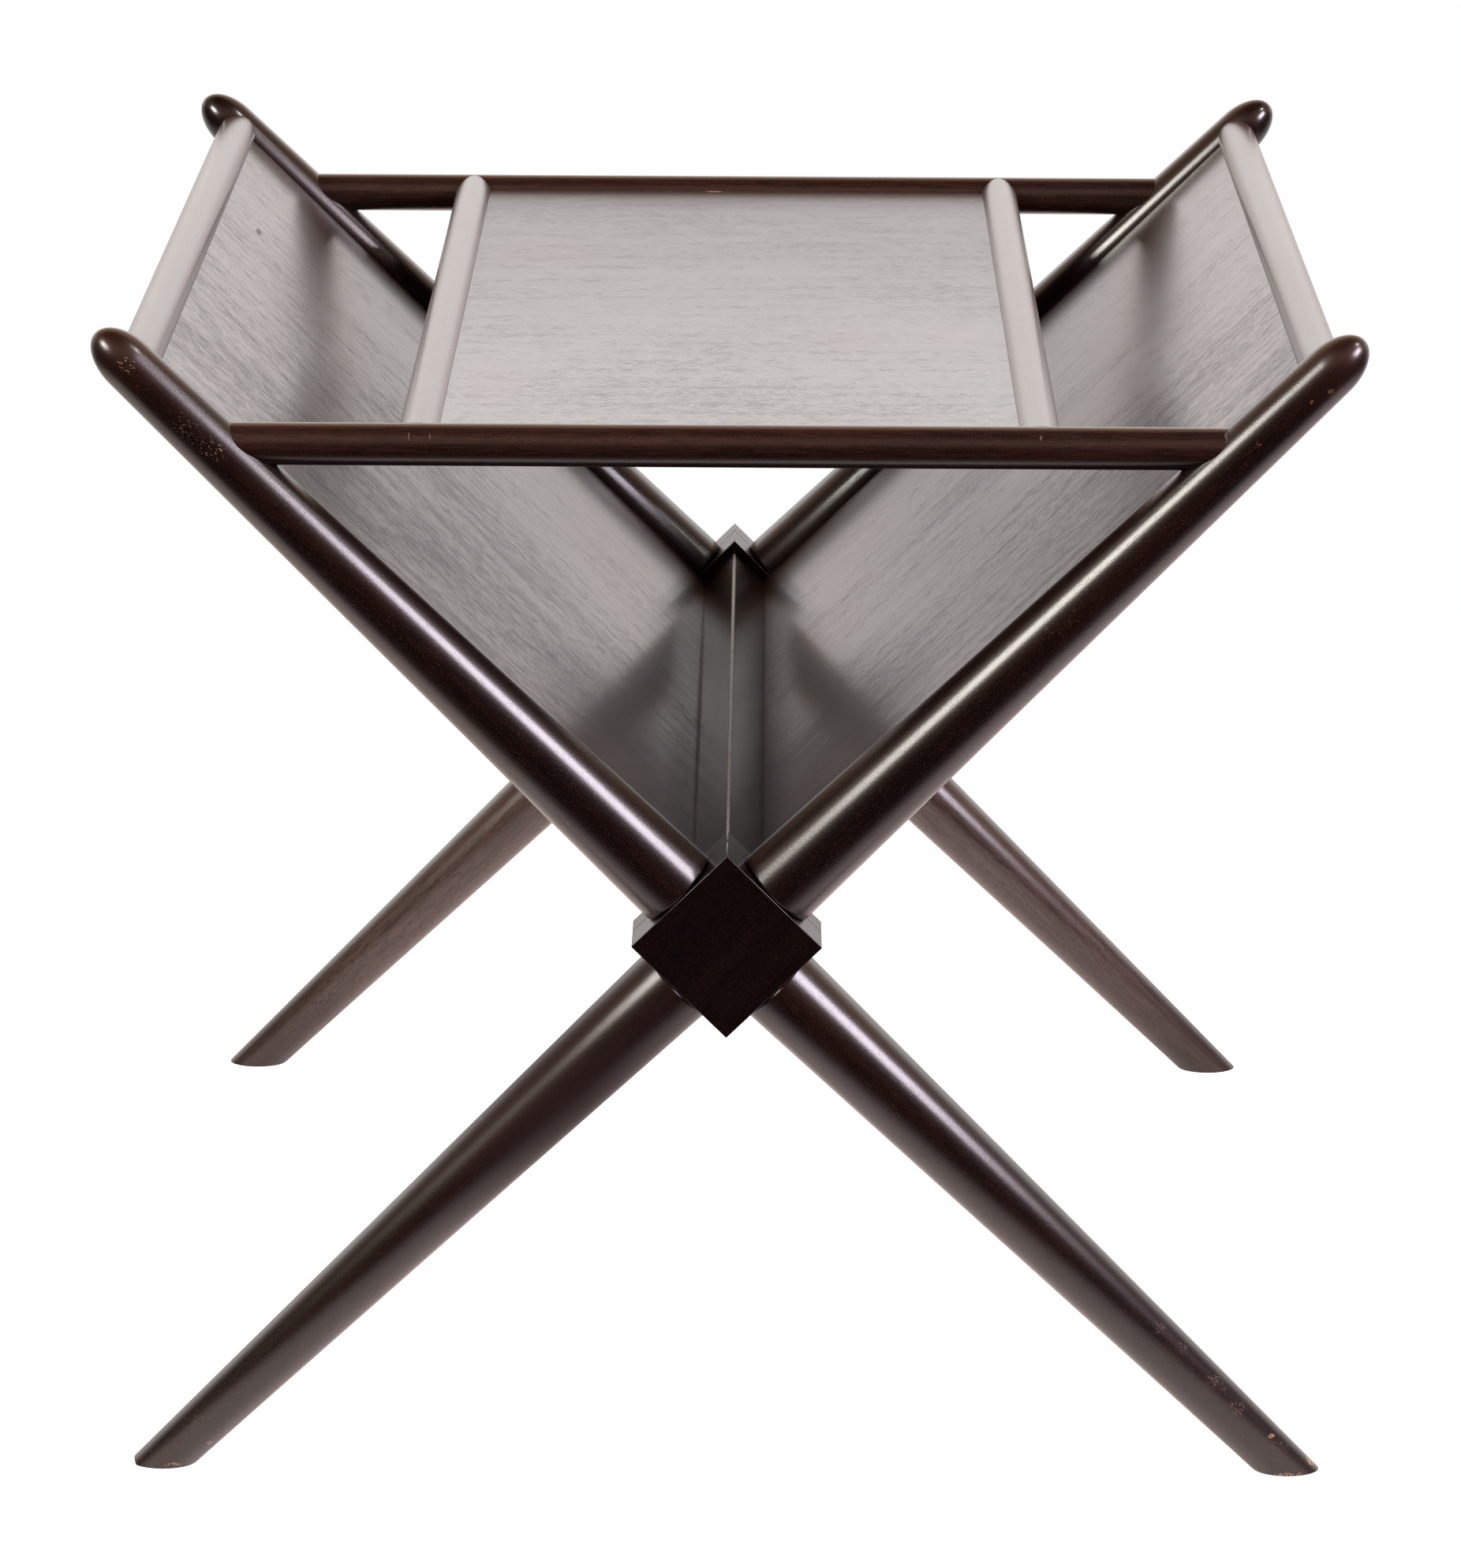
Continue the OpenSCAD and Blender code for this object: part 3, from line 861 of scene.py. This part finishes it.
# The pieces, each in its wood
for side in (LEFT, RIGHT):
    for end in (FRONT, BACK):
        shift = 0.31 * side + 0.17 * end
        corner = f"{END_NAMES[end]}_{SIDE_NAMES[side]}"
        arm = corner + "_arm"
        arm_look = TURNED if end == FRONT else BEHIND
        leg = corner + "_leg"
        # The back legs take the lighter copy of the stain: painted light
        leg_tones = ESPRESSO if end == FRONT else ESPRESSO_PAINTED_LIGHT
        arm_wood = wood(arm + "_wood", ARM_TURNS[side], ESPRESSO, shift, arm_look, wear_and_painted_light=wear_and_painted_light_of(arm))
        leg_wood = wood(leg + "_wood", LEG_TURNS[side], leg_tones, shift + 1, TURNED, wear_and_painted_light=wear_and_painted_light_of(leg))
        make_arm(side, end, arm_wood)
        make_leg(side, end, leg_wood)
for end, near, node, shift in (
    (FRONT, True, "front_hub_outer", 2.1),
    (FRONT, False, "front_hub_inner", 2.1),
    (BACK, True, "back_hub_inner", 2.7),
    (BACK, False, "back_hub_outer", 2.7),
):
    make_layer(end, near, node, wood(node + "_wood", HUB_TURN, EBONY, shift, SQUARED))
make_beam(wood("beam_wood", ALONG_Y, ESPRESSO, 3.3, BEAM, wear_and_painted_light=wear_and_painted_light_of("center_beam")))
for end in (FRONT, BACK):
    rail = END_NAMES[end] + "_rail"
    make_rail(end, wood(rail + "_wood", ALONG_X, CHESTNUT, 3.9 + end, TURNED, wear_and_painted_light=wear_and_painted_light_of(rail)))
for side in (LEFT, RIGHT):
    make_top_rod(side, wood(SIDE_NAMES[side] + "_top_rod_wood", ALONG_Y, FAWN, 5.2 + side, ROD))
    make_tray_rod(side, wood(f"tray_{SIDE_NAMES[side]}_rod_wood", ALONG_Y, FAWN, 8.2 + side, ROD))
for side, shift, heart in (
    (LEFT, 10.2, (-0.70, -0.15, 0.0, 0.12)),
    (RIGHT, 12.2, (0, -0.34, 0.0, 0.02)),
):
    panel = SIDE_NAMES[side] + "_panel"
    panel_wood = wood(panel + "_wood", ARM_TURNS[side], UMBER, shift, BOARD, heart, wear_and_painted_light_of(panel))
    make_side_panel(side, panel_wood)
make_tray(wood("tray_wood", ALONG_X, FAWN, 14.5, TRAY, (0, 0.4, 0.0, 0.03), wear_and_painted_light_of("tray_panel")))

# The dowels stay as they are in the frame, in pale wood
DOWEL = dict(SQUARED, roughness=0.65, coat_roughness=0.5)
dowel_wood = wood("dowel_wood", ALONG_Y, PALE, 16.0, DOWEL)
for node in ("beam_dowels", "rail_dowels", "top_rod_dowels", "tray_rod_dowels"):
    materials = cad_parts[node].data.materials
    materials.clear()
    materials.append(dowel_wood)
